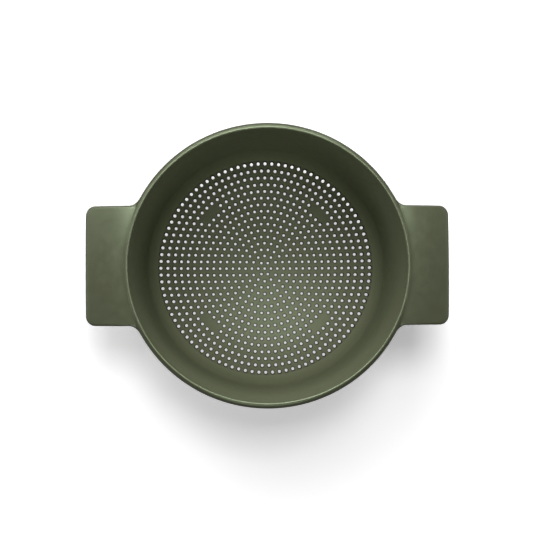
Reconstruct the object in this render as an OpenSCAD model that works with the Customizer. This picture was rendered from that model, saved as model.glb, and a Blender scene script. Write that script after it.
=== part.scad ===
// Round colander with a domed strainer floor, a thin rounded lip, two flat tab handles and four feet.
// X runs along the handles, Y from front to back, Z up from the worktop on which the feet stand.
// Sections are drawn in the half plane of distance from the axis and height, and turned about Z.

/* [Bowl] */
// Inner diameter at the top of the wall
mouth_d = 231; // [196:1:236]
// Height of the lip's crest above the middle of the floor
bowl_depth = 139; // [120:1:150]
// Thickness of wall and floor
wall = 2.5; // [2:0.1:3]
// Inner radius of the bend between floor and wall
corner_r = 40; // [34:1:44]

/* [Strainer floor] */
// Inner radius of curvature of the shallow middle
middle_r = 197; // [185:1:230]
// Distance, seen from above, from the mouth to the outer end of the band
band_inset = 17; // [16.5:0.5:21]
// Share of the floor's reach, seen from above, that its shallow middle takes up, in whole rings of holes
middle_share = 0.63; // [0.55:0.01:0.7]
// Slope of the floor at the outer end of its steeper band, in degrees
band_slope = 52.2; // [49:0.2:55]
// Distance between rings of holes
hole_pitch = 6; // [5.6:0.1:8]
// Diameter of the middle hole
hole_d_middle = 2.7; // [2:0.1:3.2]
// Diameter of the holes in the outermost ring
hole_d_outer = 3.2; // [2:0.1:3.6]
// Least distance from a hole to the end of the band
hole_margin = 0.8; // [0.4:0.1:1.5]

/* [Lip] */
// Distance by which the lip stands out past the mouth all round
lip_w = 4.8; // [4.2:0.1:6]
// Height of the crest above the underside of the lip
lip_h = 9; // [8:0.5:12]
// Height of the crest above the place where the lip is widest
lip_drop = 7.5; // [5:0.5:7.5]
// Height of the crest above the start of the outer flank
crest_step = 1.6; // [1.4:0.1:2.2]
// Radius of the lip's lower outer edge
lip_edge_r = 1; // [0.4:0.1:1.4]

/* [Handles] */
// Distance by which a handle stands out past the lip
handle_l = 31.7; // [26:0.5:40]
// Width of a handle
handle_w = 99; // [80:1:105]
// Thickness of a handle
handle_t = 4; // [3:0.2:5]
// Corner radius at the tip
handle_corner_r = 8; // [4:0.5:14]
// Radius of the hollow corner where handle and lip meet
handle_root_r = 11; // [7:0.5:14]
// Radius of the downward bow of a handle along its length
handle_bow_r = 124; // [110:1:200]
// Depth of the handle's top below the crest, at its root
handle_sink = 1.2; // [0.8:0.1:2]

/* [Feet] */
// Height of the floor's lowest point above the worktop
foot_clearance = 6; // [4:0.5:12]
// Distance, seen from above, from the middle of a foot to the outer end of the band
foot_inset = 26.5; // [25.5:0.5:27.5]
// Length of a foot, across the line to the axis
foot_l = 16; // [12:0.5:18]
// Width of a foot
foot_w = 6.4; // [5:0.2:7]
// Least distance from a hole to a foot
foot_to_hole = 0.6; // [0.3:0.1:0.9]

/* [Hidden] */
olive = "#5b6148";
// Overrun of a cutting shape past the surface that it cuts
over = 1;
// Share of the way between two rings of holes at which middle and band meet
meeting_share = 0.4333;
$fa = 2;
$fs = 0.5;

floor_z = foot_clearance + wall;
crest_z = floor_z + bowl_depth;
lip_z = crest_z - lip_h;

// Point at a distance from a centre, with the angle measured from straight down
function below(centre, r, angle) = centre + r * [sin(angle), -cos(angle)];

// Arc centres and slopes of the inner surface, each arc running on smoothly into the next
band_reach = mouth_d / 2 - band_inset;
middle_rings = floor(band_reach * middle_share / hole_pitch);
middle_reach = (middle_rings + meeting_share) * hole_pitch;
middle_centre = [0, floor_z + middle_r];
middle_slope = asin(middle_reach / middle_r);
band_r = (band_reach - middle_reach) / (sin(band_slope) - sin(middle_slope));
band_centre = below(middle_centre, middle_r - band_r, middle_slope);
corner_centre = below(band_centre, band_r - corner_r, band_slope);

// The crest is the rounded top of the wall, and the wall runs from it in a tangent to the bend
crest_centre = [mouth_d / 2 + wall / 2, crest_z - wall / 2];
to_crest = crest_centre - corner_centre;
wall_slope = 90 + atan2(to_crest[1], to_crest[0]) - acos((corner_r + wall / 2) / norm(to_crest));
up_wall = [cos(wall_slope), sin(wall_slope)];
out_of_wall = [sin(wall_slope), -cos(wall_slope)];
wall_in = below(corner_centre, corner_r, wall_slope);
wall_out = below(corner_centre, corner_r + wall, wall_slope);
function on_wall(start, z) = start + up_wall * (z - start[1]) / up_wall[1];

// Outer flank of the lip: an arc from beside the crest to the widest place
lip_r = mouth_d / 2 + lip_w;
flank_start = [crest_centre[0] + wall / 2, crest_z - crest_step];
flank_in = lip_r - flank_start[0];
flank_down = lip_drop - crest_step;
flank_r = (flank_in * flank_in + flank_down * flank_down) / (2 * flank_in);
flank_centre = [lip_r - flank_r, crest_z - lip_drop];

// Outline of a handle, and its top, which is level at the innermost place where it meets the lip
tip_x = lip_r + handle_l;
handle_half = handle_w / 2;
root_y = handle_half + handle_root_r;
root_centre = [sqrt(pow(lip_r + handle_root_r, 2) - pow(root_y, 2)), root_y];
root_touch = root_centre * lip_r / norm(root_centre);
bow_centre = [root_touch[0], crest_z - handle_sink - handle_bow_r];

// Rings of holes: 6 more holes in each ring than in the ring inside it
ring_count = floor((band_reach - hole_margin - hole_d_outer / 2) / hole_pitch);
growth = hole_d_outer - hole_d_middle;
function hole_d(ring) = hole_d_middle + growth * pow(ring / ring_count, 3);
function hole_place(ring, n) = ring * hole_pitch * [cos(60 * n / ring), sin(60 * n / ring)];

foot_place_r = band_reach - foot_inset;

// Distance from a place on the floor to the middle line of the nearest foot, on a diagonal
function along_diagonal(p) = (abs(p[0]) + abs(p[1])) / sqrt(2);
function off_diagonal(p) = abs(abs(p[0]) - abs(p[1])) / sqrt(2);
function past_foot(p) = max(off_diagonal(p) - (foot_l - foot_w) / 2, 0);
function to_foot(p) = norm([along_diagonal(p) - foot_place_r, past_foot(p)]);
function clear_of_feet(p, d) = to_foot(p) >= foot_w / 2 + foot_to_hole + d / 2;

// Sector of a disc about a centre, between two angles from straight down
module sector(centre, r, from, to) {
    mid = (from + to) / 2;
    reach = (r + over) / cos((to - from) / 2);
    intersection() {
        translate(centre) circle(r = r);
        polygon([centre, below(centre, reach, from), below(centre, reach, mid), below(centre, reach, to)]);
    }
}

// Stretch of the shell's section: an arc as thick as the wall
module arc_band(centre, r, from, to) {
    difference() {
        sector(centre, r + wall, from, to);
        translate(centre) circle(r = r);
    }
}

module holes(first_ring, last_ring) {
    for (ring = [max(first_ring, 1) : last_ring], n = [0 : 6 * ring - 1]) {
        place = hole_place(ring, n);
        if (clear_of_feet(place, hole_d(ring)))
            translate(place) cylinder(h = crest_z, d = hole_d(ring));
    }
    if (first_ring == 0) cylinder(h = crest_z, d = hole_d_middle);
}

module floor_middle() {
    color(olive) difference() {
        rotate_extrude() arc_band(middle_centre, middle_r, 0, middle_slope);
        holes(0, middle_rings);
    }
}

module floor_band() {
    color(olive) difference() {
        rotate_extrude() arc_band(band_centre, band_r, middle_slope, band_slope);
        holes(middle_rings + 1, ring_count);
    }
}

module bowl_wall() {
    color(olive) rotate_extrude() {
        arc_band(corner_centre, corner_r, band_slope, wall_slope);
        polygon([wall_in, wall_out, on_wall(wall_out, lip_z), on_wall(wall_in, lip_z)]);
    }
}

// Section of the lip outside the wall, with its lower outer edge rounded
module lip_flank() {
    difference() {
        intersection() {
            union() {
                translate(flank_centre) circle(r = flank_r);
                translate([flank_centre[0], lip_z]) square([flank_r, flank_centre[1] - lip_z]);
            }
            polygon([on_wall(wall_out, lip_z), [lip_r + over, lip_z], [lip_r + over, crest_z],
                     crest_centre]);
        }
        difference() {
            translate([lip_r - lip_edge_r, lip_z - over]) square([lip_edge_r + over, lip_edge_r + over]);
            translate([lip_r - lip_edge_r, lip_z + lip_edge_r]) circle(r = lip_edge_r);
        }
    }
}

module lip() {
    half = out_of_wall * wall / 2;
    color(olive) rotate_extrude() {
        polygon([on_wall(wall_in, lip_z), on_wall(wall_out, lip_z), crest_centre + half,
                 crest_centre - half]);
        translate(crest_centre) circle(d = wall);
        lip_flank();
    }
}

// Everything inside the lip's outer surface
module lip_envelope() {
    rotate_extrude() {
        square([flank_start[0], crest_z + over]);
        square([lip_r, flank_centre[1]]);
        translate(flank_centre) circle(r = flank_r);
    }
}

// Outline of the right handle seen from above, running on to the axis
module handle_outline() {
    square_x = tip_x - handle_corner_r;
    translate([0, -handle_half]) square([square_x, handle_w]);
    translate([0, handle_corner_r - handle_half]) square([tip_x, handle_w - 2 * handle_corner_r]);
    for (side = [-1, 1])
        translate([square_x, side * (handle_half - handle_corner_r)]) circle(r = handle_corner_r);
    difference() {
        polygon([[0, 0], [root_touch[0], -root_touch[1]], [root_centre[0], -root_y], root_centre, root_touch]);
        for (side = [-1, 1]) translate([root_centre[0], side * root_y]) circle(r = handle_root_r);
    }
}

// The handle's roots slope down to the lip's widest place
module handle_front_view() {
    polygon([[-root_touch[1], 0], [root_touch[1], 0], [root_touch[1], flank_centre[1]],
             [handle_half, crest_z], [-handle_half, crest_z], [-root_touch[1], flank_centre[1]]]);
}

module handle_side_view() {
    translate(bow_centre) difference() {
        circle(r = handle_bow_r);
        circle(r = handle_bow_r - handle_t);
    }
}

module handle() {
    difference() {
        intersection() {
            linear_extrude(height = crest_z) handle_outline();
            rotate([90, 0, 0]) linear_extrude(height = 2 * tip_x, center = true) handle_side_view();
            rotate([90, 0, 90]) linear_extrude(height = 2 * tip_x) handle_front_view();
        }
        lip_envelope();
    }
}

module handle_left() {
    color(olive) rotate(180) handle();
}

module handle_right() {
    color(olive) handle();
}

// A foot, cut off at the top by the underside of the floor
module foot(angle) {
    straight = foot_l - foot_w;
    floor_edge = below(band_centre, band_r, band_slope);
    color(olive) difference() {
        rotate(angle) translate([foot_place_r, 0]) linear_extrude(height = floor_edge[1]) {
            translate([-foot_w / 2, -straight / 2]) square([foot_w, straight]);
            for (side = [-1, 1]) translate([0, side * straight / 2]) circle(d = foot_w);
        }
        rotate_extrude() {
            sector(middle_centre, middle_r + wall, 0, middle_slope);
            sector(band_centre, band_r + wall, middle_slope, 90);
        }
    }
}

module foot_front_left() { foot(225); }
module foot_front_right() { foot(315); }
module foot_back_left() { foot(135); }
module foot_back_right() { foot(45); }

floor_middle();
floor_band();
bowl_wall();
lip();
handle_left();
handle_right();
foot_front_left();
foot_front_right();
foot_back_left();
foot_back_right();
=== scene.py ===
import math

import bpy
from bpy.props import FloatProperty, FloatVectorProperty, IntProperty, PointerProperty
from mathutils import Matrix, Vector
from mathutils.geometry import delaunay_2d_cdt


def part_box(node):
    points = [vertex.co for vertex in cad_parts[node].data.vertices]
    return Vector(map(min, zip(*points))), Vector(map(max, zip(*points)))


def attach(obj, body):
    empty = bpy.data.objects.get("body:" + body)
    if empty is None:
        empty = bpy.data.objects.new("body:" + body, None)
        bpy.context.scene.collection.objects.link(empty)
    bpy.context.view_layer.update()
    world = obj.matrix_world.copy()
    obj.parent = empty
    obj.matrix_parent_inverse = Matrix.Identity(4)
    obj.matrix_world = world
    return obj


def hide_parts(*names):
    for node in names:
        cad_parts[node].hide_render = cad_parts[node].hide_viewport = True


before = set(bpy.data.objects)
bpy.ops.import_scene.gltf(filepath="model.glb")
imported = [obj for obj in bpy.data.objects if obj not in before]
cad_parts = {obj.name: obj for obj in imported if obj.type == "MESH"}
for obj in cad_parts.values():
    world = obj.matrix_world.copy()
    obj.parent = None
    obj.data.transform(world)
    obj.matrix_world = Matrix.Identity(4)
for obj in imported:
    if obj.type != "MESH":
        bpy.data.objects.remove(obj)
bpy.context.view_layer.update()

bl_info = {
    "name": "Colander",
    "version": (1, 0, 0),
    "blender": (4, 5, 0),
    "location": "View3D > Sidebar > Colander",
    "description": "Dresses the packed colander in moulded plastic: floor, wall, lip, handles and feet",
    "category": "Add Mesh",
}

# The packed solids give the heights and reaches that the pieces have to keep
FLOOR_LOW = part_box("floor_middle")[0]
LIP_LOW, LIP_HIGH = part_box("lip")
HANDLE_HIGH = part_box("handle_right")[1]
FEET = ("foot_front_left", "foot_front_right", "foot_back_left", "foot_back_right")
# In the photograph each handle reaches this much further than the solids
FURTHER = 0.0016

ROOT_BODY = "root"
FULL_TURN = 2 * math.pi
QUARTER_TURN = math.pi / 2
# Edges that turn more than this stay sharp where a piece gives no shading directions
CREASE = math.radians(50)


def length(name, description, default, low=0.0):
    """A length in metres, shown in the scene's units."""
    return FloatProperty(name=name, description=description, default=default, min=low, max=1.0,
                         subtype="DISTANCE", unit="LENGTH", precision=5)


def share(name, description, default, low=0.0, high=1.0):
    """A number without a unit, such as a part of one or a strength."""
    return FloatProperty(name=name, description=description, default=default, min=low, max=high, precision=3)


def angle(name, description, default):
    """An angle, given in degrees and kept in radians."""
    return FloatProperty(name=name, description=description, default=math.radians(default),
                         min=-math.pi, max=math.pi, subtype="ANGLE", unit="ROTATION")


def colour(name, description, default):
    """A linear colour."""
    return FloatVectorProperty(name=name, description=description, default=default, size=3,
                               min=0.0, max=1.0, subtype="COLOR")


def count(name, description, default, low, high):
    """A whole number."""
    return IntProperty(name=name, description=description, default=default, min=low, max=high)


class BowlSizes(bpy.types.PropertyGroup):
    """Section of the bowl, from the middle of its floor to its crest"""
    mouth_radius: length("Mouth radius", "Inner radius at the top of the wall", 0.1155)
    wall: length("Wall", "Thickness of wall and floor", 0.0025)
    clearance: length("Clearance", "Height of the floor's underside above the worktop", FLOOR_LOW.z)
    middle_radius: length("Middle radius", "Inner radius of curvature of the floor's middle", 0.197)
    middle_reach: length("Middle reach", "Distance from the axis at which the middle ends", 0.0626)
    band_reach: length("Band reach", "Distance from the axis at which the steeper band ends", 0.0985)
    band_slope: angle("Band slope", "Slope of the floor at the end of its band", 52.2)
    bend_radius: length("Bend radius", "Inner radius of the bend from floor to wall", 0.04)
    crest_along: length("Crest along", "How far the crest is drawn out towards the handles", 0.0015, -0.005)
    crest_across: length("Crest across", "How far it is drawn out across them", -0.0008, -0.005)
    lip_along: length("Lip along", "How far the lip's outside is drawn out towards them", 0.0017, -0.005)
    lip_across: length("Lip across", "How far it is drawn out across them", -0.0002, -0.005)
    sink_depth: length("Sink depth", "Depth of the faint hollows in the floor above the feet", 0.0002)
    sink_width: length("Sink width", "Reach of those hollows around a foot's middle line", 0.0035)
    turn_steps: count("Steps round", "Facets round the bowl", 256, 64, 512)


class HoleSizes(bpy.types.PropertyGroup):
    """Rings of drain holes"""
    rings: count("Rings", "Rings of holes around the middle hole", 16, 1, 20)
    pitch: length("Pitch", "Distance between two rings", 0.006)
    middle_diameter: length("Middle diameter", "Diameter of the middle hole", 0.00245)
    outer_diameter: length("Outer diameter", "Diameter of the holes in the outermost ring", 0.00285)
    funnel: length("Funnel", "How much wider a hole's radius is at the top of its funnel", 0.00060)
    funnel_slope: angle("Funnel slope", "Slope of the funnel's side", 66)
    upper_edge: length("Upper edge", "Radius of the rounded edge inside the bowl", 0.00026)
    lower_edge: length("Lower edge", "Radius of the rounded edge under the bowl", 0.0003)
    land: length("Land", "Width of the flat ring around a rounded edge", 0.00006)
    steps: count("Steps", "Facets round a hole", 16, 8, 32)


class LipSizes(bpy.types.PropertyGroup):
    """Crest of the wall and the flank outside it"""
    radius: length("Radius", "Outer radius of the lip", LIP_HIGH.x)
    crest_height: length("Crest height", "Height of the crest above the worktop", LIP_HIGH.z)
    underside: length("Underside", "Height of the lip's lower end above the worktop", LIP_LOW.z)
    widest: length("Widest", "Depth below the crest at which the lip is widest", 0.0075)
    step: length("Step", "Depth below the crest at which the flank starts", 0.0016)
    edge: length("Edge", "Radius of the lip's lower outer edge", 0.001)
    flank_lift: share("Flank lift", "How much further up the flank shades than it faces, in radians", 0.30)
    flatness: share("Flatness", "How much the crest's bright line is broadened", 0.35)


class HandleSizes(bpy.types.PropertyGroup):
    """Flat tab handles"""
    tip: length("Tip", "Distance from the axis to the tip", HANDLE_HIGH.x + FURTHER)
    width: length("Width", "Width across the tab", 0.101)
    thickness: length("Thickness", "Thickness of the tab", 0.004)
    corner: length("Corner", "Radius of the corners at the tip", 0.008)
    root: length("Root", "Radius of the hollow corners at the lip", 0.011)
    bow: length("Bow", "Radius of the downward bow along the tab", 0.124)
    crown: length("Crown", "Radius of the crown across the tab", 0.38)
    sink: length("Sink", "Depth of the tab's top below the crest", 0.0012)
    edge: length("Edge", "Width of the rounded edges seen from above", 0.0017)
    edge_drop: length("Edge drop", "Depth of the rounded upper edge", 0.0032)
    edge_rise: length("Edge rise", "Height of the rounded lower edge", 0.0008)
    fillet: length("Fillet", "Reach of the hollow between crest and tab", 0.0028)


class FootSizes(bpy.types.PropertyGroup):
    """Feet under the patches without holes"""
    place_radius: length("Place", "Distance from the axis to the middle of a foot", 0.072)
    length: length("Length", "Length across the line to the axis", 0.016)
    width: length("Width", "Width along the line to the axis", 0.0064)
    edge: length("Edge", "Radius of the edge that stands on the worktop", 0.0007)
    flare: length("Flare", "Widening where a foot meets the floor", 0.00035)
    hole_gap: length("Hole gap", "Least distance from a foot to a hole", 0.0006)


class PlasticFinish(bpy.types.PropertyGroup):
    """Plastic, smooth on lip and handles, silky on the wall, matt on floor and feet, painted shade in the
    holes; the colours of the pieces differ as painted light and shade
    """
    # One olive plastic, given three colours: the wall's is lighter, painted light against the shade inside
    # the bowl; that of lip and handles is darker, painted shade; the floor's and feet's lies between
    smooth_colour: colour("Smooth colour", "Colour of lip and handles", (0.079, 0.085, 0.051))
    silky_colour: colour("Silky colour", "Colour of the wall", (0.140, 0.150, 0.094))
    matt_colour: colour("Matt colour", "Colour of floor and feet", (0.122, 0.131, 0.082))
    # Painted shade: a near black for the funnels and bores of the holes, where they lie in shade
    shaded_colour: colour("Shaded colour", "Colour inside the holes", (0.010, 0.011, 0.007))
    pale_gain: share("Pale gain", "Brightness of patches with less pigment", 1.08, 1.0, 2.0)
    sheen_colour: colour("Sheen colour", "Tint of the sheen", (0.82, 1.0, 0.66))
    smooth_sheen: share("Smooth sheen", "Strength of the sheen on lip and handles", 0.85)
    silky_sheen: share("Silky sheen", "Strength of the sheen on the wall", 0.9)
    matt_sheen: share("Matt sheen", "Strength of the sheen on floor and feet", 0.40)
    shaded_sheen: share("Shaded sheen", "Strength of the sheen inside the holes", 0.1)
    refraction: share("Refraction", "Refractive index", 1.68, 1.0, 2.0)
    smooth_roughness: share("Smooth roughness", "Middle roughness of lip and handles", 0.36)
    silky_roughness: share("Silky roughness", "Middle roughness of the wall", 0.46)
    matt_roughness: share("Matt roughness", "Middle roughness of floor and feet", 0.52)
    shaded_roughness: share("Shaded roughness", "Middle roughness inside the holes", 0.7)
    roughness_spread: share("Roughness spread", "How far the roughness strays from its middle", 0.05)
    grain: share("Grain", "Strength of the fine moulded grain", 0.12)
    grain_depth: length("Grain depth", "Height of the fine moulded grain", 0.00006)


class StudioSettings(bpy.types.PropertyGroup):
    """Camera, lamps and floor of the stage"""
    camera_place: FloatVectorProperty(name="Camera", description="Place of the camera",
                                      default=(-0.025694, -0.023960, 1.2008), size=3,
                                      subtype="TRANSLATION", unit="LENGTH")
    camera_pitch: angle("Pitch", "Turn of the view about X", -1.2443)
    camera_yaw: angle("Yaw", "Turn of the view about Y", 1.3184)
    camera_roll: angle("Roll", "Turn of the view about its own line", 0.2139)
    lens: FloatProperty(name="Lens", description="Focal length on a 36 mm sensor", default=85.27,
                        min=10.0, max=300.0, unit="CAMERA")
    overhead_level: share("Overhead level", "Share of the light that comes from overhead", 0.36)
    high_level: share("High level", "Share from the high softbox behind the bowl", 0.345)
    back_left_level: share("Back left level", "Share from behind on the left", 0.06)
    back_right_level: share("Back right level", "Share from behind on the right", 0.01)
    low_level: share("Low level", "Share from the low strip behind the bowl", 0.10)
    left_level: share("Left level", "Share from the left", 0.040)
    right_level: share("Right level", "Share from the right", 0.025)
    front_level: share("Front level", "Share from the front", 0.10)
    world_level: share("World level", "Brightness of the surroundings", 0.015)
    bounce: share("Bounce", "Share of the light that the table throws back at the colander", 0.1)
    table_white: share("Table white", "Whiteness of the table to the camera", 1.0)
    # Painted shadow: the table glows less under the handles
    painted_handle_shadow: share("Side dimming", "How much less the table glows under the handles", 0.17)
    floor_glow: share("Floor glow", "Brightness that the camera sees on the table in full shade", 0.34)
    # Painted light under the bowl: the table there is less white and glows more to the camera
    hole_white: share("Hole white", "Whiteness to the camera of the table under the bowl", 0.1)
    hole_glow: share("Hole glow", "Brightness that it sees through the holes in full shade", 0.60)


class ColanderSettings(bpy.types.PropertyGroup):
    """All sizes, colours and lamps of the colander"""
    bowl: PointerProperty(type=BowlSizes)
    holes: PointerProperty(type=HoleSizes)
    lip: PointerProperty(type=LipSizes)
    handles: PointerProperty(type=HandleSizes)
    feet: PointerProperty(type=FootSizes)
    plastic: PointerProperty(type=PlasticFinish)
    studio: PointerProperty(type=StudioSettings)


def eased(t):
    """Runs from 0 to 1 with level ends."""
    t = min(max(t, 0.0), 1.0)
    return t * t * (3 - 2 * t)


def below(centre, radius, slope):
    """Point at a radius from an arc's centre, where the arc has that slope."""
    return centre[0] + radius * math.sin(slope), centre[1] - radius * math.cos(slope)


class BowlSection:
    """Arcs of the bowl's section as (distance from the axis, height), each running smoothly into the next."""

    def __init__(self, settings):
        bowl, lip = settings.bowl, settings.lip
        self.turn_steps = bowl.turn_steps
        self.wall = bowl.wall
        self.middle_radius = bowl.middle_radius
        self.middle_reach = bowl.middle_reach
        self.middle_slope = math.asin(bowl.middle_reach / bowl.middle_radius)
        self.middle_centre = (0.0, bowl.clearance + bowl.wall + bowl.middle_radius)
        self.band_slope = bowl.band_slope
        rise = math.sin(self.band_slope) - math.sin(self.middle_slope)
        self.band_radius = (bowl.band_reach - bowl.middle_reach) / rise
        self.band_centre = below(self.middle_centre, bowl.middle_radius - self.band_radius, self.middle_slope)
        self.bend_radius = bowl.bend_radius
        self.bend_centre = below(self.band_centre, self.band_radius - bowl.bend_radius, self.band_slope)
        self.crest_radius = bowl.wall / 2
        self.crest_height = lip.crest_height
        self.crest_centre = (bowl.mouth_radius + self.crest_radius, lip.crest_height - self.crest_radius)
        across = self.crest_centre[0] - self.bend_centre[0]
        up = self.crest_centre[1] - self.bend_centre[1]
        tangent = math.acos((bowl.bend_radius + self.crest_radius) / math.hypot(across, up))
        self.wall_slope = QUARTER_TURN + math.atan2(up, across) - tangent
        self.lip_radius = lip.radius
        self.lip_bottom = lip.underside
        self.flank_start = (self.crest_centre[0] + self.crest_radius, lip.crest_height - lip.step)
        flank_in = lip.radius - self.flank_start[0]
        flank_down = lip.widest - lip.step
        self.flank_radius = (flank_in ** 2 + flank_down ** 2) / (2 * flank_in)
        self.flank_centre = (lip.radius - self.flank_radius, lip.crest_height - lip.widest)
        self.wall_low = below(self.bend_centre, self.bend_radius, self.wall_slope)[1]
        self.stretches = ((bowl.crest_along, bowl.crest_across), (bowl.lip_along, bowl.lip_across))
        self.floor_reach = {1: bowl.band_reach, -1: bowl.band_reach + bowl.wall * math.sin(bowl.band_slope)}

    def stretched(self, turn, outside=False):
        """How far the crest or the lip's outside is drawn out in a direction: the mouth is slightly oval."""
        along, across = self.stretches[outside]
        return (along + across) / 2 + (along - across) / 2 * math.cos(2 * turn)

    def drawn_out(self, reach, height, turn):
        """Distance from the axis of a point of wall or lip after the mouth is drawn out."""
        risen = min(max((height - self.wall_low) / (self.crest_centre[1] - self.wall_low), 0.0), 1.0)
        left = min((self.lip_radius - reach) / (self.lip_radius - self.flank_start[0]), 1.0)
        return reach + (self.stretched(turn) * left + self.stretched(turn, True) * (1 - left)) * risen

    def floor_at(self, reach, outside=False):
        """Height and slope of the floor's inside or outside at a distance from the axis."""
        extra = self.wall if outside else 0.0
        if reach <= self.middle_reach + extra * math.sin(self.middle_slope):
            centre, radius = self.middle_centre, self.middle_radius + extra
        else:
            centre, radius = self.band_centre, self.band_radius + extra
        slope = math.asin((reach - centre[0]) / radius)
        return centre[1] - radius * math.cos(slope), slope

    def wall_at(self, height, outside=False):
        """Distance from the axis of the straight wall's inside or outside at a height."""
        start = below(self.bend_centre, self.bend_radius + (self.wall if outside else 0.0), self.wall_slope)
        return start[0] + (height - start[1]) / math.tan(self.wall_slope)

    def flank_at(self, reach, turn):
        """Height of the lip's flank at a distance from the axis, in a direction."""
        outer = self.stretched(turn, True)
        part = (self.stretched(turn) - outer) / (self.lip_radius - self.flank_start[0])
        reach = (reach - outer - part * self.lip_radius) / (1 - part)
        out = min(max(reach, self.flank_start[0]), self.lip_radius) - self.flank_centre[0]
        return self.flank_centre[1] + math.sqrt(max(self.flank_radius ** 2 - out ** 2, 0.0))


def add_object(name, data):
    """Puts a new object into the scene."""
    made = bpy.data.objects.new(name, data)
    bpy.context.scene.collection.objects.link(made)
    return made


def piece(name, points, faces, nodes, materials, kinds=None, normals=None):
    """Closed mesh in place of solids; kinds gives each face's material, normals each point's shading."""
    mesh = bpy.data.meshes.new(name)
    mesh.from_pydata(points, [], faces)
    mesh.update()
    mesh.shade_smooth()
    if normals:
        mesh.normals_split_custom_set_from_vertices(normals)
    else:
        mesh.set_sharp_from_angle(angle=CREASE)
    for material in materials:
        mesh.materials.append(material)
    if kinds:
        mesh.polygons.foreach_set("material_index", kinds)
    made = add_object(name, mesh)
    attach(made, ROOT_BODY)
    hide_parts(*nodes)


def rounds(steps):
    """Angles from 0 to a quarter turn in equal steps."""
    return [QUARTER_TURN * i / steps for i in range(steps + 1)]


def joined(near, far):
    """Faces between two closed loops of as many points."""
    return list(zip(near, near[1:] + near[:1], far[1:] + far[:1], far))


def side_by_side(loops):
    """Points and faces of closed loops, each joined to the next, with both ends closed."""
    around = len(loops[0])
    rows = [list(range(i * around, (i + 1) * around)) for i in range(len(loops))]
    faces = [tuple(reversed(rows[0])), tuple(rows[-1])]
    for near, far in zip(rows, rows[1:]):
        faces += joined(near, far)
    return [corner for loop in loops for corner in loop], faces


# Strainer floor

HOLES_PER_RING = 6
# The holes grow with this power of the ring's number
GROWTH_POWER = 3
# Strips of a hole's side, counted from the top, that carry the painted shade, a near black put down the
# funnel and bore where the hole lies in shade
PAINTED_SHADE_STRIPS = range(3, 8)
BORE_EDGE_STEPS = 2
# Steps of the points over a foot, and how far they reach along it, as a share of its middle line
HOLLOW_STEPS_ALONG = 6
HOLLOW_STEPS_OUT = 3
HOLLOW_SPAN = 1.3
MERGE_DISTANCE = 1e-9


def from_foot(x, y, feet):
    """Distance from a place on the floor to the middle line of the nearest foot."""
    along = (abs(x) + abs(y)) / math.sqrt(2) - feet.place_radius
    beside = abs(abs(x) - abs(y)) / math.sqrt(2) - (feet.length - feet.width) / 2
    return math.hypot(along, max(beside, 0.0))


def drain_holes(holes, feet):
    """Each hole as (x, y, radius, direction away from the axis), but for those that a foot would cover."""
    found = [(0.0, 0.0, holes.middle_diameter / 2, 0.0)]
    growth = holes.outer_diameter - holes.middle_diameter
    for ring in range(1, holes.rings + 1):
        radius = (holes.middle_diameter + growth * (ring / holes.rings) ** GROWTH_POWER) / 2
        for n in range(HOLES_PER_RING * ring):
            turn = FULL_TURN * n / (HOLES_PER_RING * ring)
            x, y = ring * holes.pitch * math.cos(turn), ring * holes.pitch * math.sin(turn)
            if from_foot(x, y, feet) >= feet.width / 2 + feet.hole_gap + radius:
                found.append((x, y, radius, turn))
    return found


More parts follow.
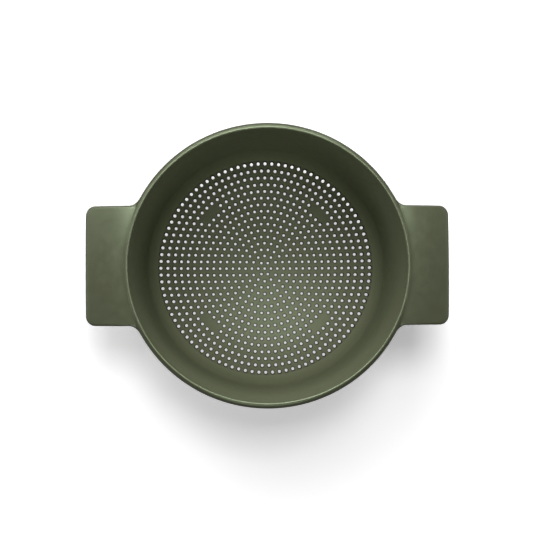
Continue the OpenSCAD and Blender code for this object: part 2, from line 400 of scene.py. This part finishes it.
def strainer_floor(settings, matt, shaded):
    """The floor with its drain holes: two skins over one plan, joined by a rounded bore at each hole."""
    section = BowlSection(settings)
    bowl, holes, feet = settings.bowl, settings.holes, settings.feet
    points, normals, faces, kinds = [], [], [], []
    plan, fences, owners, top_of, under_of = [], [], [], [], []

    def skin_point(x, y, side, drop=0.0, aside=None, turned=0.0):
        """Adds a point on the inside (1) or the underside (-1), dropped into a hole's rounded edge."""
        reach = math.hypot(x, y)
        height, slope = section.floor_at(min(reach, section.floor_reach[side]), side < 0)
        if side > 0:
            height -= bowl.sink_depth * math.exp(-(from_foot(x, y, feet) / bowl.sink_width) ** 2)
        tilt = side * math.sin(slope) / (reach or 1.0)
        normal = Vector((-x * tilt, -y * tilt, side * math.cos(slope)))
        if aside is not None:
            normal = normal * math.cos(turned) + aside * math.sin(turned)
        points.append((x, y, height - side * drop))
        normals.append(normal.normalized())
        return len(points) - 1

    # A hole's profile as (side, distance outside the bore, drop, turn of the surface), from the top down
    slope, edge, low = holes.funnel_slope, holes.upper_edge, holes.lower_edge
    profile = [(1, holes.funnel + edge * (math.sin(slope) - math.sin(turned)),
                edge * (1 - math.cos(turned)), turned)
               for turned in (0.0, slope / 3, slope * 2 / 3, slope)]
    profile.append((1, 0.0, profile[-1][2] + holes.funnel * math.tan(slope), slope))
    profile.append((1, 0.0, profile[-1][2] + edge, QUARTER_TURN))
    profile += [(-1, low * (1 - math.sin(turned)), low * (1 - math.cos(turned)), turned)
                for turned in reversed(rounds(BORE_EDGE_STEPS))]
    widest = profile[0][1] + holes.land
    for owner, (cx, cy, radius, facing) in enumerate(drain_holes(holes, feet)):
        support = radius + widest
        around = [facing + FULL_TURN * k / holes.steps for k in range(holes.steps)]
        spokes = [Vector((math.cos(a), math.sin(a), 0.0)) for a in around]
        loops = [[skin_point(cx + s.x * support, cy + s.y * support, 1) for s in spokes]]
        for side, beside, drop, turned in profile:
            out = radius + beside
            loops.append([skin_point(cx + s.x * out, cy + s.y * out, side, drop, -s, turned) for s in spokes])
        loops.append([skin_point(cx + s.x * support, cy + s.y * support, -1) for s in spokes])
        for level, (near, far) in enumerate(zip(loops, loops[1:])):
            faces += joined(near, far)
            # Painted shade on the strips down the funnel and bore, plain plastic elsewhere
            kinds += [int(level in PAINTED_SHADE_STRIPS)] * holes.steps
        first = len(plan)
        plan += [Vector((cx + s.x * support, cy + s.y * support)) for s in spokes]
        fences += [(first + k, first + (k + 1) % holes.steps) for k in range(holes.steps)]
        owners += [owner] * holes.steps
        top_of += loops[0]
        under_of += loops[-1]

    # The rim of the floor, where the bend starts
    first, inner, outer = len(plan), section.floor_reach[1], section.floor_reach[-1]
    for k in range(bowl.turn_steps):
        turn = FULL_TURN * k / bowl.turn_steps
        c, s = math.cos(turn), math.sin(turn)
        plan.append(Vector((inner * c, inner * s)))
        fences.append((first + k, first + (k + 1) % bowl.turn_steps))
        owners.append(None)
        top_of.append(skin_point(inner * c, inner * s, 1))
        under_of.append(skin_point(outer * c, outer * s, -1))
    faces += joined(under_of[first:], top_of[first:])

    # Points along the feet, which carry the faint hollows above them
    span = (feet.length - feet.width) / 2
    for quarter in range(len(FEET)):
        turn = FULL_TURN * (quarter + 0.5) / len(FEET)
        c, s = math.cos(turn), math.sin(turn)
        for along in range(-HOLLOW_STEPS_ALONG, HOLLOW_STEPS_ALONG + 1):
            for out in range(-HOLLOW_STEPS_OUT, HOLLOW_STEPS_OUT + 1):
                reach = feet.place_radius + out * feet.width / (2 * HOLLOW_STEPS_OUT)
                shift = along * span * HOLLOW_SPAN / HOLLOW_STEPS_ALONG
                x, y = reach * c - shift * s, reach * s + shift * c
                plan.append(Vector((x, y)))
                owners.append(None)
                top_of.append(skin_point(x, y, 1))
                under_of.append(skin_point(x, y, -1))

    made = delaunay_2d_cdt(plan, fences, [], 0, MERGE_DISTANCE)
    # Both skins take the plan's triangles, but for those that lie inside a hole
    source = [origins[0] for origins in made[3]]
    for corners in made[2]:
        a, b, c = (source[corner] for corner in corners)
        if owners[a] is not None and owners[a] == owners[b] == owners[c]:
            continue
        faces.append((top_of[a], top_of[b], top_of[c]))
        faces.append((under_of[c], under_of[b], under_of[a]))
    kinds += [0] * (len(faces) - len(kinds))
    nodes = ("floor_middle", "floor_band")
    piece("strainer_floor", points, faces, nodes, (matt, shaded), kinds, normals)


# Wall and lip

BEND_STEPS = 12
WALL_STEPS = 6
LIP_EDGE_STEPS = 4
FLANK_STEPS = 8
CREST_STEPS = 20
LIP_WALL_STEPS = 3


def turned_piece(name, section, outline, materials, inside=0):
    """Turns a closed outline of (distance, height, direction out, direction up) about the axis.

    Its last strips, as many as inside says, take the second material.
    """
    steps, points, normals, faces, kinds = section.turn_steps, [], [], [], []
    for k in range(steps):
        turn = FULL_TURN * k / steps
        c, s = math.cos(turn), math.sin(turn)
        for reach, height, out, up in outline:
            reach = section.drawn_out(reach, height, turn)
            points.append((reach * c, reach * s, height))
            normals.append((out * c, out * s, up))
    around = len(outline)
    for k in range(steps):
        here, there = k * around, (k + 1) % steps * around
        for j in range(around):
            after = (j + 1) % around
            faces.append((here + j, there + j, there + after, here + after))
            kinds.append(int(j >= around - inside))
    piece(name, points, faces, (name,), materials, kinds, normals)


def arc_points(centre, radius, start, end, steps, side=1):
    """Points on an arc between two slopes, with directions away from its centre (side 1) or towards it."""
    found = []
    for i in range(steps + 1):
        slope = start + (end - start) * i / steps
        reach, height = below(centre, radius, slope)
        found.append((reach, height, side * math.sin(slope), -side * math.cos(slope)))
    return found


def straight_wall(section, start, end, steps, outside):
    """Points on the straight wall, evenly spaced after a start height up to an end height."""
    side = 1 if outside else -1
    out, up = side * math.sin(section.wall_slope), -side * math.cos(section.wall_slope)
    heights = [start + (end - start) * (i / steps) for i in range(1, steps + 1)]
    return [(section.wall_at(height, outside), height, out, up) for height in heights]


def bowl_wall(settings, material):
    """The bend from floor to wall, and the wall up to the lip."""
    section = BowlSection(settings)
    centre, radius, top = section.bend_centre, section.bend_radius, section.lip_bottom
    start, end = section.band_slope, section.wall_slope
    outer = arc_points(centre, radius + section.wall, start, end, BEND_STEPS)
    inner = arc_points(centre, radius, end, start, BEND_STEPS, side=-1)
    outer += straight_wall(section, outer[-1][1], top, WALL_STEPS, True)
    inner = straight_wall(section, inner[0][1], top, WALL_STEPS, False)[::-1] + inner
    turned_piece("bowl_wall", section, outer + inner, (material,))


def lip(settings, smooth, silky):
    """The top of the wall with its rounded crest, and the flank outside it."""
    section = BowlSection(settings)
    edge, lift = settings.lip.edge, settings.lip.flank_lift
    bottom = section.lip_bottom
    rim_in = section.lip_radius - edge
    outline = [(section.wall_at(bottom, True), bottom, 0.0, -1.0)]
    for turned in rounds(LIP_EDGE_STEPS):
        outline.append((rim_in + edge * math.sin(turned), bottom + edge * (1 - math.cos(turned)),
                        math.sin(turned), -math.cos(turned)))

    def add(centre, radius, around, facing):
        """Adds a point on an arc, with the direction that it shades to."""
        outline.append((centre[0] + radius * math.cos(around), centre[1] + radius * math.sin(around),
                        math.cos(facing), math.sin(facing)))

    # The flank shades further and further up, towards the crest
    across, up = (section.flank_start[i] - section.flank_centre[i] for i in (0, 1))
    flank_end = math.atan2(up, across)
    for i in range(FLANK_STEPS + 1):
        raised = flank_end * i / FLANK_STEPS
        add(section.flank_centre, section.flank_radius, raised, raised + lift * i / FLANK_STEPS)
    # The crest shades as if flattened a little on top, and runs into the flank without a dark crease
    crest_end = QUARTER_TURN + section.wall_slope
    for i in range(CREST_STEPS + 1):
        around = crest_end * i / CREST_STEPS
        tilt = (around - QUARTER_TURN) / QUARTER_TURN
        facing = QUARTER_TURN + QUARTER_TURN * tilt * abs(tilt) ** settings.lip.flatness
        add(section.crest_centre, section.crest_radius, around, max(facing, flank_end + lift))
    outline += straight_wall(section, outline[-1][1], bottom, LIP_WALL_STEPS, False)
    turned_piece("lip", section, outline, (smooth, silky), LIP_WALL_STEPS + 1)


# Handles

TIP_STEPS = 10
CORNER_STEPS = 10
SIDE_STEPS = 12
ROOT_STEPS = 18
# Turns past the hollow corner at which the outline goes on along the lip
TAIL_TURNS = [math.radians(degrees) for degrees in (0.25, 0.5, 1.0)]
# Places of a slice's points between lip and rounded edge, on top and below
TOP_COLUMNS = (0.0, 0.02, 0.04, 0.06, 0.085, 0.12, 0.17, 0.24,
               0.32, 0.42, 0.52, 0.62, 0.72, 0.82, 0.91, 1.0)
UNDER_COLUMNS = (0.8, 0.6, 0.4, 0.2, 0.0)
UPPER_EDGE_STEPS = 6
LOWER_EDGE_STEPS = 5
# A slice starts this share of the crest's radius outside its middle
START_SHARE = 0.4
# Next to the lip the tab's top fills this share of its sink
FILLED_SHARE = 0.45
# The tab stands a hair proud of the lip, and its tail is tucked into it
PROUD = 0.00002
TUCK = 0.00020
TUCK_TURN = math.radians(0.5)


class HandleForm:
    """Outline, top and underside of the right handle."""

    def __init__(self, settings):
        self.section = section = BowlSection(settings)
        self.sizes = sizes = settings.handles
        self.half = sizes.width / 2
        root_y = self.half + sizes.root
        self.root_centre = (math.sqrt((section.lip_radius + sizes.root) ** 2 - root_y ** 2), root_y)
        self.root_turn = math.atan2(self.half, self.root_centre[0])
        self.touch_turn = math.atan2(root_y, self.root_centre[0])
        self.bow_start = section.lip_radius * math.cos(self.touch_turn)
        self.bow_height = section.crest_height - sizes.sink - sizes.bow

    def half_outline(self):
        """Points (x, y) from the middle of the tip to the lip, each with the direction into the handle."""
        sizes, tip, half = self.sizes, self.sizes.tip, self.half
        square_y, square_x = half - sizes.corner, tip - sizes.corner
        found = [((tip, square_y * i / TIP_STEPS), (-1.0, 0.0)) for i in range(TIP_STEPS + 1)]
        for turn in rounds(CORNER_STEPS)[1:]:
            c, s = math.cos(turn), math.sin(turn)
            found.append(((square_x + sizes.corner * c, square_y + sizes.corner * s), (-c, -s)))
        root_x, root_y = self.root_centre
        for i in range(1, SIDE_STEPS + 1):
            found.append(((square_x + (root_x - square_x) * i / SIDE_STEPS, half), (0.0, -1.0)))
        sweep = QUARTER_TURN - self.touch_turn
        for i in range(1, ROOT_STEPS + 1):
            turn = -QUARTER_TURN - sweep * i / ROOT_STEPS
            c, s = math.cos(turn), math.sin(turn)
            found.append(((root_x + sizes.root * c, root_y + sizes.root * s), (c, s)))
        for past in TAIL_TURNS:
            c, s = math.cos(self.touch_turn + past), math.sin(self.touch_turn + past)
            found.append(((self.section.lip_radius * c, self.section.lip_radius * s), (-c, -s)))
        return [(self.followed(place), inward) for place, inward in found]

    def followed(self, place):
        """Moves a point of the outline with the oval lip, less and less along the hollow corner."""
        reach, turn = math.hypot(*place), math.atan2(place[1], place[0])
        corner_end = math.hypot(self.root_centre[0], self.half)
        near = min(max((corner_end - reach) / (corner_end - self.section.lip_radius), 0.0), 1.0)
        part = 1 + self.section.stretched(turn, True) * near / reach
        return place[0] * part, place[1] * part

    def outline(self):
        """The whole outline, from the lip round the tip and back to the lip."""
        half = self.half_outline()
        mirrored = [((x, -y), (nx, -ny)) for (x, y), (nx, ny) in reversed(half[1:])]
        return mirrored + half

    def bowed(self, x, y, radius):
        """Height of an arc of that radius along the tab, with the crown across it."""
        past = max(x - self.bow_start, 0.0)
        return self.bow_height + math.sqrt(radius ** 2 - past ** 2) - y ** 2 / (2 * self.sizes.crown)

    def top(self, x, y, likeness):
        """Height of the top: the lip's flank at likeness 0, the handle's own bow at 1."""
        reach, turn = math.hypot(x, y), math.atan2(y, x)
        beside = reach - self.section.flank_start[0] - self.section.stretched(turn)
        level = self.bowed(x, y, self.sizes.bow)
        level += self.sizes.sink * FILLED_SHARE * math.exp(-max(beside, 0.0) / self.sizes.fillet * 2)
        return (1 - likeness) * self.section.flank_at(reach, turn) + likeness * level

    def underside(self, x, y, likeness):
        """Height of the underside: the lip's lower end at likeness 0, the handle's own at 1."""
        level = self.bowed(x, y, self.sizes.bow - self.sizes.thickness)
        return (1 - likeness) * self.section.lip_bottom + likeness * level

    def slice_at(self, place, inward):
        """Closed section from inside the lip over the top, round the edge and back under the handle."""
        (x, y), (nx, ny) = place, inward
        edge, section = self.sizes.edge, self.section
        turn = math.atan2(y, x)
        likeness = eased((self.touch_turn - abs(turn)) / (self.touch_turn - self.root_turn))
        tuck = TUCK * eased((abs(turn) - self.touch_turn) / TUCK_TURN) - PROUD
        x, y = x + nx * tuck, y + ny * tuck
        start_r = section.crest_centre[0] + section.crest_radius * START_SHARE + section.stretched(turn)
        start = (start_r * math.cos(turn), start_r * math.sin(turn))
        end = (x + nx * edge, y + ny * edge)

        def flat(t):
            """Place on the way to the rounded edge, which has no drop."""
            return start[0] + (end[0] - start[0]) * t, start[1] + (end[1] - start[1]) * t, 0.0

        def rounded(turned, height):
            """Place and drop on the rounded edge after a turn."""
            out = edge * math.sin(turned)
            return end[0] - nx * out, end[1] - ny * out, height * (1 - math.cos(turned))

        above = [flat(t) for t in TOP_COLUMNS]
        above += [rounded(turned, self.sizes.edge_drop) for turned in rounds(UPPER_EDGE_STEPS)[1:]]
        under = [rounded(turned, self.sizes.edge_rise) for turned in reversed(rounds(LOWER_EDGE_STEPS))]
        under += [flat(t) for t in UNDER_COLUMNS]
        return ([(px, py, self.top(px, py, likeness) - likeness * drop - tuck) for px, py, drop in above]
                + [(px, py, self.underside(px, py, likeness) + drop + tuck) for px, py, drop in under])


def handle(name, side, settings, material):
    """One handle: slices from lip to edge, side by side round its outline, closed at both ends."""
    form = HandleForm(settings)
    slices = [[(side * x, side * y, z) for x, y, z in form.slice_at(place, inward)]
              for place, inward in form.outline()]
    points, faces = side_by_side(slices)
    piece(name, points, faces, (name,), (material,))


# Feet

FOOT_END_STEPS = 12
FOOT_EDGE_STEPS = 4
FLARE_STEPS = 3
# The flare is this many times as high as it is wide
FLARE_HEIGHT = 3
# A foot runs this share of the wall's thickness into the floor
FOOT_DEPTH = 1 / 8


def foot(name, settings, material):
    """One foot: a rounded bar that stands on the worktop and runs up into the floor."""
    section, sizes = BowlSection(settings), settings.feet
    low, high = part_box(name)
    turn = math.atan2(low.y + high.y, low.x + high.x)
    out, across = Vector((math.cos(turn), math.sin(turn))), Vector((-math.sin(turn), math.cos(turn)))
    middle = out * sizes.place_radius
    radius, span = sizes.width / 2, (sizes.length - sizes.width) / 2
    spokes = []
    for end in (1, -1):
        for k in range(FOOT_END_STEPS + 1):
            around = QUARTER_TURN * (end - 1) + math.pi * k / FOOT_END_STEPS
            spokes.append((end * span, math.cos(around), math.sin(around)))

    def loop(grown, height_at):
        """The foot's outline, grown all round, each point at the height that a function gives."""
        found = []
        for shift, c, s in spokes:
            spot = middle + out * ((radius + grown) * c) + across * ((radius + grown) * s + shift)
            found.append((spot.x, spot.y, height_at(spot)))
        return found

    def level(height):
        """Height function of a loop that is level."""
        return lambda spot: height

    def under_floor(depth):
        """Height function of a loop that follows the floor's underside."""
        return lambda spot: section.floor_at(spot.length, True)[0] - depth

    edge, flare = sizes.edge, sizes.flare
    loops = [loop(-edge * (1 - math.sin(t)), level(edge * (1 - math.cos(t))))
             for t in rounds(FOOT_EDGE_STEPS)]
    loops += [loop(flare * (1 - math.cos(t)), under_floor(FLARE_HEIGHT * flare * (1 - math.sin(t))))
              for t in rounds(FLARE_STEPS)]
    loops.append(loop(flare, under_floor(-settings.bowl.wall * FOOT_DEPTH)))
    points, faces = side_by_side(loops)
    piece(name, points, faces, (name,), (material,))


# Materials

# Noise patterns of the plastic as (scale, detail, roughness)
CLOUDS = (22.0, 3.0, 0.55)
SPECKS = (900.0, 2.0, 0.6)
GLOSS = (140.0, 4.0, 0.6)
GRAIN = (2600.0, 2.0, 0.5)
# Clouds times specks, from the base colour to the pale one
PALE_RANGE = (0.12, 0.40)
# The gloss pattern, from the least roughness to the most
GLOSS_RANGE = (0.3, 0.7)
# Distances from the axis over which the painted light under the bowl, seen through the holes, turns into the
# open table
UNDER_BOWL = (0.094, 0.108)
# Those over which it fades into the surroundings, beyond the picture's edge
FADE = (0.35, 0.7)
# The painted shadow under the handles: its middle along X, and the distances over which it ends
TAB_MIDDLE = 0.1375
PAINTED_SHADOW_ALONG = (0.020, 0.050)
PAINTED_SHADOW_ACROSS = (0.060, 0.105)
GLOW_COLOUR = (1.0, 0.985, 1.0, 1.0)
WHITE = (1.0, 1.0, 1.0, 1.0)


def add_node(tree, kind, inputs=None, **values):
    """Adds a node with its values, and fills its inputs with numbers or with other nodes' outputs."""
    node = tree.nodes.new(kind)
    for name, value in values.items():
        setattr(node, name, value)
    for name, value in (inputs or {}).items():
        if isinstance(value, bpy.types.NodeSocket):
            tree.links.new(value, node.inputs[name])
        else:
            node.inputs[name].default_value = value
    return node


def noise(tree, spot, pattern):
    """A noise pattern."""
    scale, detail, roughness = pattern
    inputs = {"Vector": spot, "Scale": scale, "Detail": detail, "Roughness": roughness}
    return add_node(tree, "ShaderNodeTexNoise", inputs).outputs["Fac"]


def ramp(tree, value, span, low=0.0, high=1.0):
    """Runs from low to high while the value runs through its span."""
    inputs = {"Value": value, "From Min": span[0], "From Max": span[1], "To Min": low, "To Max": high}
    return add_node(tree, "ShaderNodeMapRange", inputs).outputs["Result"]


def reckoned(tree, operation, *values):
    """Result of one step of reckoning."""
    return add_node(tree, "ShaderNodeMath", dict(enumerate(values)), operation=operation).outputs[0]


def new_tree(holder, output):
    """Node tree of a material or a world, emptied but for an output."""
    holder.use_nodes = True
    tree = holder.node_tree
    tree.nodes.clear()
    return tree, tree.nodes.new(output).inputs["Surface"]


def olive_plastic(finish, kind):
    """Smooth, silky, matt or painted-shade plastic with faint pigment clouds, uneven gloss and a fine grain;
    the kinds' colours differ as painted light and shade.
    """
    name = kind + "_olive_plastic"
    if name in bpy.data.materials:
        return bpy.data.materials[name]
    main, sheen, roughness = (getattr(finish, kind + look) for look in ("_colour", "_sheen", "_roughness"))
    material = bpy.data.materials.new(name)
    tree, surface = new_tree(material, "ShaderNodeOutputMaterial")
    spot = add_node(tree, "ShaderNodeTexCoord").outputs["Object"]
    mixed = reckoned(tree, "MULTIPLY", noise(tree, spot, CLOUDS), noise(tree, spot, SPECKS))
    tint = add_node(tree, "ShaderNodeMix", {"Factor": ramp(tree, mixed, PALE_RANGE)}, data_type="RGBA")
    tint.inputs["A"].default_value = (*main, 1.0)
    tint.inputs["B"].default_value = (*(Vector(main) * finish.pale_gain), 1.0)
    spread = finish.roughness_spread
    rough = ramp(tree, noise(tree, spot, GLOSS), GLOSS_RANGE, roughness - spread, roughness + spread)
    bump = add_node(tree, "ShaderNodeBump", {
        "Height": noise(tree, spot, GRAIN), "Strength": finish.grain, "Distance": finish.grain_depth,
    })
    shader = add_node(tree, "ShaderNodeBsdfPrincipled", {
        "Base Color": tint.outputs["Result"], "Roughness": rough, "Normal": bump.outputs[0],
        "IOR": finish.refraction, "Specular IOR Level": sheen, "Specular Tint": (*finish.sheen_colour, 1.0),
    })
    tree.links.new(shader.outputs[0], surface)
    return material


def white_table(studio):
    """White table that keeps the shadow; only the camera sees its glow, stronger under the bowl as painted
    light and weaker under the handles as painted shadow.
    """
    material = bpy.data.materials.new("white_table")
    tree, surface = new_tree(material, "ShaderNodeOutputMaterial")
    spot = add_node(tree, "ShaderNodeTexCoord").outputs["Object"]
    reach = add_node(tree, "ShaderNodeVectorMath", {0: spot}, operation="LENGTH").outputs["Value"]
    # Painted light: under the bowl, seen through the holes, the table takes less of the lamps' light and
    # glows more to the camera
    glow = ramp(tree, reach, UNDER_BOWL, studio.hole_glow, studio.floor_glow)
    white = ramp(tree, reach, UNDER_BOWL, studio.hole_white, studio.table_white)
    seen = add_node(tree, "ShaderNodeLightPath").outputs["Is Camera Ray"]
    glow = reckoned(tree, "ADD", glow, ramp(tree, reach, FADE))
    # Painted shadow: beside the bowl, under the handles, the table glows less, which darkens the handles'
    # soft shadows
    sides = add_node(tree, "ShaderNodeSeparateXYZ", {0: spot}).outputs
    along, across = (reckoned(tree, "ABSOLUTE", sides[axis]) for axis in "XY")
    from_tab = reckoned(tree, "ABSOLUTE", reckoned(tree, "SUBTRACT", along, TAB_MIDDLE))
    dimming = ramp(tree, across, PAINTED_SHADOW_ACROSS, -studio.painted_handle_shadow, 0.0)
    glow = reckoned(tree, "MULTIPLY_ADD", ramp(tree, from_tab, PAINTED_SHADOW_ALONG, 1.0, 0.0), dimming, glow)
    paint = add_node(tree, "ShaderNodeMix", {"Factor": seen}, data_type="FLOAT")
    paint.inputs["A"].default_value = studio.bounce
    tree.links.new(white, paint.inputs["B"])
    shader = add_node(tree, "ShaderNodeBsdfPrincipled", {
        "Base Color": paint.outputs["Result"], "Roughness": 1.0, "Specular IOR Level": 0.0,
        "Emission Color": GLOW_COLOUR, "Emission Strength": reckoned(tree, "MULTIPLY", glow, seen),
    })
    # Seen from below, the table is clear, so that the bowl's underside shows
    backside = add_node(tree, "ShaderNodeNewGeometry").outputs["Backfacing"]
    clear = add_node(tree, "ShaderNodeBsdfTransparent")
    mixed = add_node(tree, "ShaderNodeMixShader", {0: backside, 1: shader.outputs[0], 2: clear.outputs[0]})
    tree.links.new(mixed.outputs[0], surface)
    return material


def white_surroundings(studio):
    """White to the camera, and an even dim light for everything else."""
    world = bpy.data.worlds.new("white_surroundings")
    tree, surface = new_tree(world, "ShaderNodeOutputWorld")
    seen = add_node(tree, "ShaderNodeLightPath").outputs["Is Camera Ray"]
    level = ramp(tree, seen, (0.0, 1.0), studio.world_level, 1.0)
    light = add_node(tree, "ShaderNodeBackground", {"Color": WHITE, "Strength": level})
    tree.links.new(light.outputs[0], surface)
    bpy.context.scene.world = world


# Stage

# Lamps as (name, place, size, setting with its share of the light)
LAMPS = (
    ("overhead_softbox", (0.05, 0.80, 2.98), (0.8, 0.8), "overhead_level"),
    ("high_softbox", (-0.35, 1.75, 2.48), (1.6, 1.3), "high_level"),
    ("back_left_softbox", (-1.86, 1.56, 1.86), (1.8, 1.3), "back_left_level"),
    ("back_right_softbox", (1.86, 1.56, 1.86), (1.8, 1.3), "back_right_level"),
    ("low_strip", (0.0, 2.90, 0.88), (4.2, 0.5), "low_level"),
    ("left_strip", (-2.85, 0.50, 0.88), (3.0, 0.5), "left_level"),
    ("right_strip", (2.85, 0.50, 0.88), (3.0, 0.5), "right_level"),
    ("front_softbox", (0.0, -2.43, 1.86), (1.8, 1.3), "front_level"),
)
# All lamps aim at the middle of the bowl
AIM = (0.0, 0.0, 0.1)
TABLE_REACH = 3.0
SENSOR_MM = 36.0
FARTHEST_SEEN = 20.0


def add_lamp(name, place, size, level):
    """Rectangular lamp that lights a level surface at its aim as brightly as a world of that level."""
    lamp = bpy.data.lights.new(name, "AREA")
    lamp.shape = "RECTANGLE"
    lamp.size, lamp.size_y = size
    towards = Vector(AIM) - Vector(place)
    distance = towards.length
    lamp.energy = level * math.pi ** 2 * distance ** 2 / (-towards.z / distance)
    made = add_object(name, lamp)
    made.location = place
    made.rotation_euler = towards.to_track_quat("-Z", "Y").to_euler()


def table_top(studio):
    """The white table, level with the ends of the feet."""
    mesh = bpy.data.meshes.new("table_top")
    corners = [(x * TABLE_REACH, y * TABLE_REACH, 0) for x, y in ((-1, -1), (1, -1), (1, 1), (-1, 1))]
    mesh.from_pydata(corners, [], [(0, 1, 2, 3)])
    mesh.materials.append(white_table(studio))
    add_object("table_top", mesh)


def photo_camera(studio):
    """The camera straight above the bowl, leaning a little, as in the photograph."""
    camera = bpy.data.cameras.new("photo_camera")
    camera.sensor_width = SENSOR_MM
    camera.lens = studio.lens
    camera.clip_end = FARTHEST_SEEN
    made = add_object("photo_camera", camera)
    to_view = (Matrix.Rotation(studio.camera_roll, 3, "Z") @ Matrix.Rotation(studio.camera_pitch, 3, "X")
               @ Matrix.Rotation(studio.camera_yaw, 3, "Y"))
    made.matrix_world = Matrix.Translation(studio.camera_place) @ to_view.transposed().to_4x4()
    bpy.context.scene.camera = made


# Operators

class COLANDER_OT_floor(bpy.types.Operator):
    """Makes the strainer floor with its drain holes"""
    bl_idname = "colander.floor"
    bl_label = "Strainer Floor"

    def execute(self, context):
        settings = context.scene.colander
        matt, shaded = (olive_plastic(settings.plastic, kind) for kind in ("matt", "shaded"))
        strainer_floor(settings, matt, shaded)
        return {"FINISHED"}


class COLANDER_OT_wall(bpy.types.Operator):
    """Makes the bend and the wall of the bowl"""
    bl_idname = "colander.wall"
    bl_label = "Bowl Wall"

    def execute(self, context):
        settings = context.scene.colander
        bowl_wall(settings, olive_plastic(settings.plastic, "silky"))
        return {"FINISHED"}


class COLANDER_OT_lip(bpy.types.Operator):
    """Makes the lip with its crest and flank"""
    bl_idname = "colander.lip"
    bl_label = "Lip"

    def execute(self, context):
        settings = context.scene.colander
        smooth, silky = (olive_plastic(settings.plastic, kind) for kind in ("smooth", "silky"))
        lip(settings, smooth, silky)
        return {"FINISHED"}


class COLANDER_OT_handles(bpy.types.Operator):
    """Makes the two tab handles"""
    bl_idname = "colander.handles"
    bl_label = "Handles"

    def execute(self, context):
        settings = context.scene.colander
        for name, side in (("handle_right", 1), ("handle_left", -1)):
            handle(name, side, settings, olive_plastic(settings.plastic, "smooth"))
        return {"FINISHED"}


class COLANDER_OT_feet(bpy.types.Operator):
    """Makes the four feet under the floor"""
    bl_idname = "colander.feet"
    bl_label = "Feet"

    def execute(self, context):
        settings = context.scene.colander
        for name in FEET:
            foot(name, settings, olive_plastic(settings.plastic, "matt"))
        return {"FINISHED"}


class COLANDER_OT_stage(bpy.types.Operator):
    """Sets the camera, the lamps, the table and the surroundings"""
    bl_idname = "colander.stage"
    bl_label = "Stage"

    def execute(self, context):
        scene, studio = context.scene, context.scene.colander.studio
        photo_camera(studio)
        table_top(studio)
        white_surroundings(studio)
        for name, place, size, level in LAMPS:
            add_lamp(name, place, size, getattr(studio, level))
        scene.view_settings.view_transform = "Standard"
        return {"FINISHED"}


class COLANDER_PT_sidebar(bpy.types.Panel):
    """Pieces and stage of the colander"""
    bl_label = "Colander"
    bl_idname = "COLANDER_PT_sidebar"
    bl_space_type = "VIEW_3D"
    bl_region_type = "UI"
    bl_category = "Colander"

    def draw(self, context):
        for maker in MAKERS:
            self.layout.operator(maker.bl_idname)
        for group in ColanderSettings.__annotations__:
            sizes = getattr(context.scene.colander, group)
            box = self.layout.box()
            box.label(text=type(sizes).__doc__)
            for size in type(sizes).__annotations__:
                box.prop(sizes, size)


MAKERS = (COLANDER_OT_floor, COLANDER_OT_wall, COLANDER_OT_lip, COLANDER_OT_handles,
          COLANDER_OT_feet, COLANDER_OT_stage)
CLASSES = (BowlSizes, HoleSizes, LipSizes, HandleSizes, FootSizes, PlasticFinish, StudioSettings,
           ColanderSettings, *MAKERS, COLANDER_PT_sidebar)


def register():
    for item in CLASSES:
        bpy.utils.register_class(item)
    bpy.types.Scene.colander = PointerProperty(type=ColanderSettings)


def unregister():
    del bpy.types.Scene.colander
    for item in reversed(CLASSES):
        bpy.utils.unregister_class(item)


def main():
    register()
    bpy.ops.colander.floor()
    bpy.ops.colander.wall()
    bpy.ops.colander.lip()
    bpy.ops.colander.handles()
    bpy.ops.colander.feet()
    bpy.ops.colander.stage()
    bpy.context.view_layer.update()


if __name__ == "__main__":
    main()
